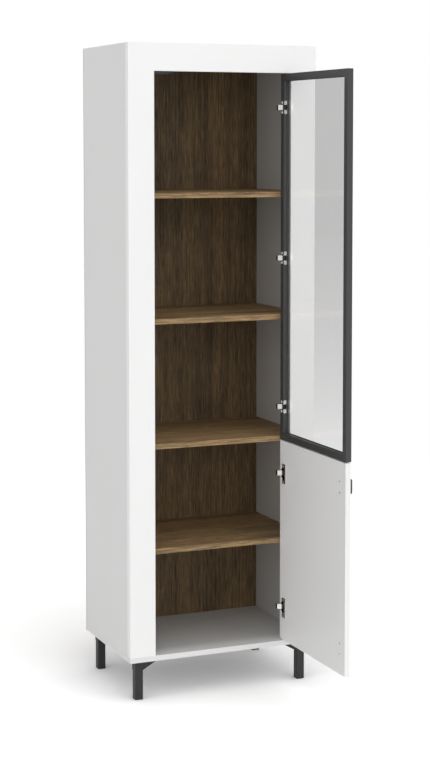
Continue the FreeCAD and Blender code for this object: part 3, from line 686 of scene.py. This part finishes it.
def lower_hinge_cups():
    """The lower door's hinge cups, each with its pressed plate on the door."""
    whole = bmesh.new()
    for z in LOWER_HINGES:
        rings = []
        for inset, rise in CUP_PLATE_RINGS:
            x = DOOR_INNER_X - rise
            points = [(x, CUP_MIDDLE_Y + y, z + up) for y, up in cup_plate_outline(inset)]
            rings.append([whole.verts.new(point) for point in points])
        skin(whole, rings)
        whole.faces.new(rings[-1])
        whole.faces.new(list(reversed(rings[0])))
        cup = bmesh.new()
        rings = [ring_verts(cup, radius, height, CUP_STEPS) for radius, height in CUP_RINGS]
        skin(cup, rings)
        cup.faces.new(rings[-1])
        cup.faces.new(list(reversed(rings[0])))
        middle = Matrix.Translation((DOOR_INNER_X, CUP_MIDDLE_Y, z))
        cup.transform(middle @ turned(LEFTWARD))
        join(whole, cup)
    bmesh.ops.recalc_face_normals(whole, faces=whole.faces)
    piece = add_piece("hinge_cup_pair", whole, "lower_door", "nickel", "hinge_cup")
    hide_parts("hinge_cup_lower_top", "hinge_cup_lower_bottom")


PANE_FACE_X = 0.2073
PANE_Y = (-0.3927, REVEAL_Y)
PANE_Z = (0.7705, 1.831)
# Each point of the bead's outline is a rise from the pane and a reach from the bar.
BEAD_OUTLINE = (
    (0.0014, 0.0),
    (0.0036, 0.0),
    (0.0035, 0.0005),
    (0.0030, 0.0013),
    (0.0022, 0.0020),
    (0.0012, 0.0024),
    (0.0, 0.0025),
    (0.0, 0.0008),
    (0.0014, 0.0008),
)


def glazing_bead():
    """The soft bead round the inner side of the glass."""
    whole = bmesh.new()
    rings = []
    for end, top in ((0, 0), (1, 0), (1, 1), (0, 1)):
        ring = []
        for rise, reach in BEAD_OUTLINE:
            y = PANE_Y[end] + reach * (1 - 2 * end)
            z = PANE_Z[top] + reach * (1 - 2 * top)
            ring.append(whole.verts.new((PANE_FACE_X - rise, y, z)))
        rings.append(ring)
    skin(whole, rings + rings[:1])
    bmesh.ops.recalc_face_normals(whole, faces=whole.faces)
    add_piece("glazing_bead", whole, "upper_door", "gasket_rubber")


# Radius and height of each kind of head, in metres.
ARM_SCREW = (0.0042, 0.0022)
REACH_SCREW = (0.0032, 0.0012)
WING_SCREW = (0.0042, 0.0014)
FRAME_SCREW = (0.0042, 0.0014)
FRAME_WASHER = (0.0059, 0.0005)
CUP_SCREW = (0.0034, 0.0009)
LEG_SCREW = (0.004, 0.0018)
STOP_SCREW = (0.003, 0.001)
NAIL = (0.0025, 0.0001)
HANDLE_SCREW = (0.003, 0.0014)

# Where the hinges' heads sit; a spread is the way up and down from a hinge's middle.
ARM_FACE_Y = 0.02966
ARM_SCREW_X = 0.2535
REACH_SCREW_X = 0.2345
WING_FACE_Y = 0.0245
WING_SCREW_X = 0.2472
WING_SPREAD = 0.0165
FRAME_SCREW_Y = 0.0113
FRAME_SPREAD = 0.0146
CUP_SCREW_Y = -0.0062
CUP_SPREAD = 0.024


def hinge_spots(hinges, x, y, spread):
    """Two spots for each hinge, below and above its middle."""
    return [(x, y, z + step * spread) for z in hinges for step in (-1, 1)]


def hinge_fittings():
    hinges = UPPER_HINGES + LOWER_HINGES
    arm_screws = []
    for z in hinges:
        arm_screws.append(((ARM_SCREW_X, ARM_FACE_Y, z), ARM_SCREW))
        arm_screws.append(((REACH_SCREW_X, ARM_FACE_Y, z), REACH_SCREW))
    fittings("hinge_arm_screws", "cabinet", "nickel", screw_head, BACKWARD, arm_screws)
    wing_spots = hinge_spots(hinges, WING_SCREW_X, WING_FACE_Y, WING_SPREAD)
    wing_screws = [(spot, WING_SCREW) for spot in wing_spots]
    fittings("hinge_plate_screws", "cabinet", "steel", screw_head, BACKWARD, wing_screws)

    frame_spots = hinge_spots(UPPER_HINGES, DOOR_INNER_X, FRAME_SCREW_Y, FRAME_SPREAD)
    caps = [(spot, FRAME_SCREW) for spot in frame_spots]
    washers = [(spot, FRAME_WASHER) for spot in frame_spots]
    fittings("frame_hinge_screws", "upper_door", "steel", screw_head, LEFTWARD, caps, "screw_cap")
    fittings("frame_hinge_washers", "upper_door", "black_plastic", collar, LEFTWARD, washers)

    plate_face_x = DOOR_INNER_X - CUP_PLATE_RISE
    plate_spots = hinge_spots(LOWER_HINGES, plate_face_x, CUP_SCREW_Y, CUP_SPREAD)
    cup_screws = [(spot, CUP_SCREW) for spot in plate_spots]
    fittings("cup_screws", "lower_door", "steel", screw_head, LEFTWARD, cup_screws)


LEG_PLATE_Z = 0.115
LEG_SCREW_SPOTS = (
    (0.264, 0.067),
    (0.213, 0.067),
    (0.213, 0.037),
    (0.264, 0.333),
    (0.213, 0.333),
    (0.213, 0.371),
)
STOP_FACE_Y = 0.036
STOP_SCREW_Z = 1.862
STOP_SCREW_X = (-0.203, -0.166)
BACK_FACE_Y = 0.4
SIDE_NAILS = 10
SIDE_NAIL_X = 0.292
SIDE_NAIL_START = 0.150
SIDE_NAIL_STEP = 0.197
ROW_NAIL_X = (-0.19, 0.0, 0.19)
ROW_NAIL_Z = (0.126, 0.752, 1.926)


def carcass_fittings():
    leg_spots = [(sign * x, y, LEG_PLATE_Z) for sign in (-1, 1) for x, y in LEG_SCREW_SPOTS]
    leg_screws = [(spot, LEG_SCREW) for spot in leg_spots]
    fittings("leg_screws", "cabinet", "steel", screw_head, DOWNWARD, leg_screws)

    stop_screws = [((x, STOP_FACE_Y, STOP_SCREW_Z), STOP_SCREW) for x in STOP_SCREW_X]
    fittings("stop_screws", "cabinet", "steel", screw_head, BACKWARD, stop_screws)

    heights = [SIDE_NAIL_START + step * SIDE_NAIL_STEP for step in range(SIDE_NAILS)]
    nail_spots = [(sign * SIDE_NAIL_X, BACK_FACE_Y, z) for sign in (-1, 1) for z in heights]
    nail_spots += [(x, BACK_FACE_Y, z) for z in ROW_NAIL_Z for x in ROW_NAIL_X]
    nails = [(spot, NAIL) for spot in nail_spots]
    fittings("back_nails", "cabinet", "steel", nail_head, BACKWARD, nails)


HANDLE_Y = -0.3787
HANDLE_SCREW_Z = (0.6585, 0.6905)
SHANK_RINGS = ((0.002, 0.0), (0.002, -0.0236), (0.0012, -0.0238))


def handle_screw(radius, height):
    """A pan head on its shank, as it goes through the door into the handle's foot."""
    shape = screw_head(radius, height)
    shank = [ring_verts(shape, size, depth) for size, depth in SHANK_RINGS]
    skin(shape, shank)
    shape.faces.new(list(reversed(shank[-1])))
    shape.faces.new(shank[0])
    return shape


def handle_fittings():
    heads = [((DOOR_INNER_X, HANDLE_Y, z), HANDLE_SCREW) for z in HANDLE_SCREW_Z]
    piece = fittings("handle_screw_pair", "lower_door", "steel", handle_screw, LEFTWARD, heads)
    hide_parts("handle_screws")


lower_hinge_cups()
glazing_bead()
hinge_fittings()
carcass_fittings()
handle_fittings()


FLOOR_HALF = 23.0
FLOOR_PAPER = rgb(0.88, 0.88, 0.88)
FLOOR_SHADED = rgb(0.7, 0.7, 0.7)
FLOOR_OPEN = rgb(1.7, 1.7, 1.7)
SHADE_REACH = 0.4
SHADE_SAMPLES = 8
# The floor's brightness through the glass: far off, added near the object, and eased under it.
GLASS_FLOOR = 0.58
GLASS_FLOOR_NEAR = 1.4
GLASS_FLOOR_EASE = 0.1
# How much of the white glow shows near the object, and the span over which it takes over.
LIFT_NEAR = 0.1
LIFT_SPAN = (1.4, 4.0)


def pale_floor():
    """A wide floor that shows its shade near the object and glows white farther off."""
    mesh = bpy.data.meshes.new("floor")
    shape = bmesh.new()
    bmesh.ops.create_grid(shape, x_segments=1, y_segments=1, size=FLOOR_HALF)
    shape.to_mesh(mesh)
    shape.free()
    floor = bpy.data.objects.new("floor", mesh)
    bpy.context.collection.objects.link(floor)
    f = Finish("pale_floor")
    seen = f.ray_seen()
    through = f.ray("Is Transmission Ray")
    reach = f.vector_math("LENGTH", f.place(), output="Value")
    open_air = f.node(
        "ShaderNodeAmbientOcclusion",
        {"samples": SHADE_SAMPLES},
        {"Distance": SHADE_REACH},
        output="AO",
    )
    seen_tone = f.blend(open_air, FLOOR_SHADED, FLOOR_OPEN)
    paper_tone = f.blend(seen, FLOOR_PAPER, seen_tone)
    paper = f.node("ShaderNodeBsdfDiffuse", None, {"Color": paper_tone})
    shine = seen + through * (GLASS_FLOOR + GLASS_FLOOR_NEAR / (reach + GLASS_FLOOR_EASE))
    glow = f.node("ShaderNodeEmission", None, {"Color": shine})
    lift = (seen + through) * (LIFT_NEAR + (1.0 - LIFT_NEAR) * reach.rise(*LIFT_SPAN))
    f.finish(f.node("ShaderNodeMixShader", None, {0: lift, 1: paper, 2: glow}))
    mesh.materials.append(f.material)


DOME = 0.275
SOFTBOX = 1.29
SOFTBOX_WAY = Vector((0.1, -0.95, 0.3)).normalized()
THROUGH_GLASS = 0.62


def studio_sky():
    """Soft light from the front; white to the camera and grey through the glass."""
    world = bpy.data.worlds.new("studio")
    bpy.context.scene.world = world
    world.use_nodes = True
    f = Finish("studio", world.node_tree)
    outward = f.node("ShaderNodeTexCoord", output="Generated")
    facing = f.vector_math("DOT_PRODUCT", outward, SOFTBOX_WAY, output="Value")
    light = DOME + SOFTBOX * facing.clip()
    shown = light + f.ray_seen() * (1.0 - light)
    strength = shown + f.ray("Is Transmission Ray") * (THROUGH_GLASS - light)
    sky = f.node("ShaderNodeBackground", None, {"Color": strength})
    f.node("ShaderNodeOutputWorld", None, {"Surface": sky})


SIDE_LAMP = 29.0
SIDE_LAMP_SIZE = (2.4, 3.2)
SIDE_LAMP_SPOT = Vector((-5.0, -1.0, 2.2))
SIDE_LAMP_AIM = Vector((0.1, -0.1, 0.9))


def side_lamp():
    """A large soft lamp that lights the left side."""
    data = bpy.data.lights.new("side_lamp", "AREA")
    data.shape = "RECTANGLE"
    data.size, data.size_y = SIDE_LAMP_SIZE
    data.energy = SIDE_LAMP
    lamp = bpy.data.objects.new("side_lamp", data)
    lamp.location = SIDE_LAMP_SPOT
    way = SIDE_LAMP_AIM - SIDE_LAMP_SPOT
    lamp.rotation_euler = way.to_track_quat("-Z", "Y").to_euler()
    bpy.context.collection.objects.link(lamp)


IMAGE_WIDTH = 430.0
IMAGE_HEIGHT = 760.0
FOCAL_PIXELS = 1754.19
SENSOR = 36.0
AXIS_PIXEL = (222.98, 270.90)
# Angles in degrees: down from level, and to the right.
CAMERA_SPOT = (-2.0375, -4.7565, 1.6431)
CAMERA_DIP = 4.148
CAMERA_YAW = 23.151


def photo_camera():
    """The camera that was solved from the photograph's edges."""
    data = bpy.data.cameras.new("camera")
    data.sensor_width = SENSOR
    data.lens = FOCAL_PIXELS * SENSOR / IMAGE_HEIGHT
    data.shift_x = (IMAGE_WIDTH / 2 - AXIS_PIXEL[0]) / IMAGE_HEIGHT
    data.shift_y = (AXIS_PIXEL[1] - IMAGE_HEIGHT / 2) / IMAGE_HEIGHT
    camera = bpy.data.objects.new("camera", data)
    camera.location = CAMERA_SPOT
    camera.rotation_euler = (math.radians(90.0 - CAMERA_DIP), 0.0, math.radians(-CAMERA_YAW))
    bpy.context.collection.objects.link(camera)
    bpy.context.scene.camera = camera


pale_floor()
studio_sky()
side_lamp()
photo_camera()
bpy.context.scene.view_settings.view_transform = "Standard"
